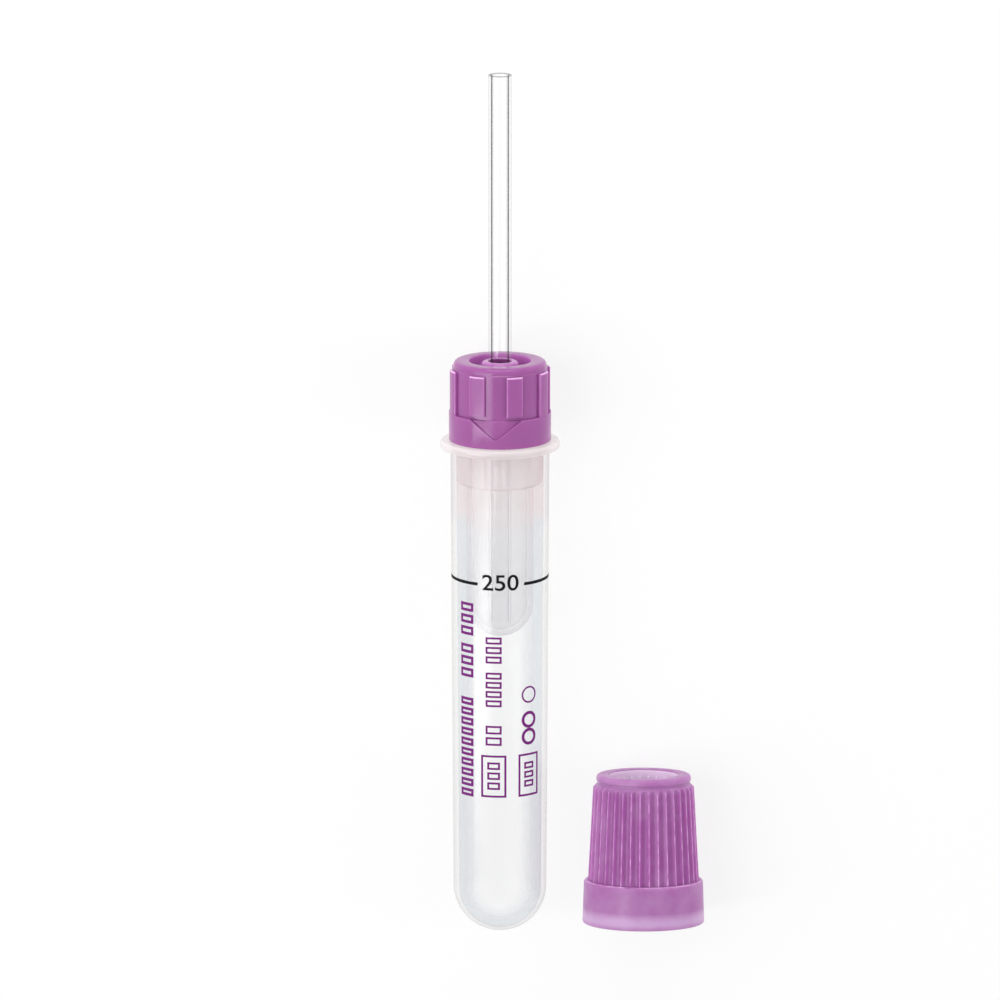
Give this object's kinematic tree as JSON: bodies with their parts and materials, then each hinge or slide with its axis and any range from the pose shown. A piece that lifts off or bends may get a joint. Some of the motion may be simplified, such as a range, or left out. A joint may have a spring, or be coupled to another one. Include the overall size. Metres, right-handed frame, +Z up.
{
  "type": "blood collection tube",
  "caption": "Capillary blood collection tube: round-bottomed tube with a small inner vessel, a push-on holder with a straight capillary, and the ribbed closure lying beside it.",
  "frame": {"origin": "centre of the whole set's footprint, on the surface that the tube and the closure lie on", "axes": "+Y along the lying tube in plan, from its round bottom to the capillary's tip; +Z up; +X towards the closure"},
  "size_m": [0.035, 0.1152, 0.0164],
  "materials": {
    "outer_tube": "translucent natural polypropylene, gloss",
    "inner_vessel": "translucent natural polypropylene, gloss",
    "capillary_holder": "violet polyethylene, gloss",
    "capillary": "clear plastic, gloss",
    "closure_cap": "violet polyethylene, slightly frosted",
    "closure_membrane": "soft elastomer, matt"
  },
  "bodies": {
    "tube": {"outer_tube": "outer_tube", "inner_vessel": "inner_vessel", "closure_cap": "closure_cap", "closure_membrane": "closure_membrane"},
    "holder": {"capillary_holder": "capillary_holder", "capillary": "capillary"}
  },
  "joints": [
    {"name": "holder_pull", "type": "slide", "parent": "tube", "child": "holder", "axis": [0, 0.9996, 0.0278], "range_m": [0, 0.04]}
  ]
}
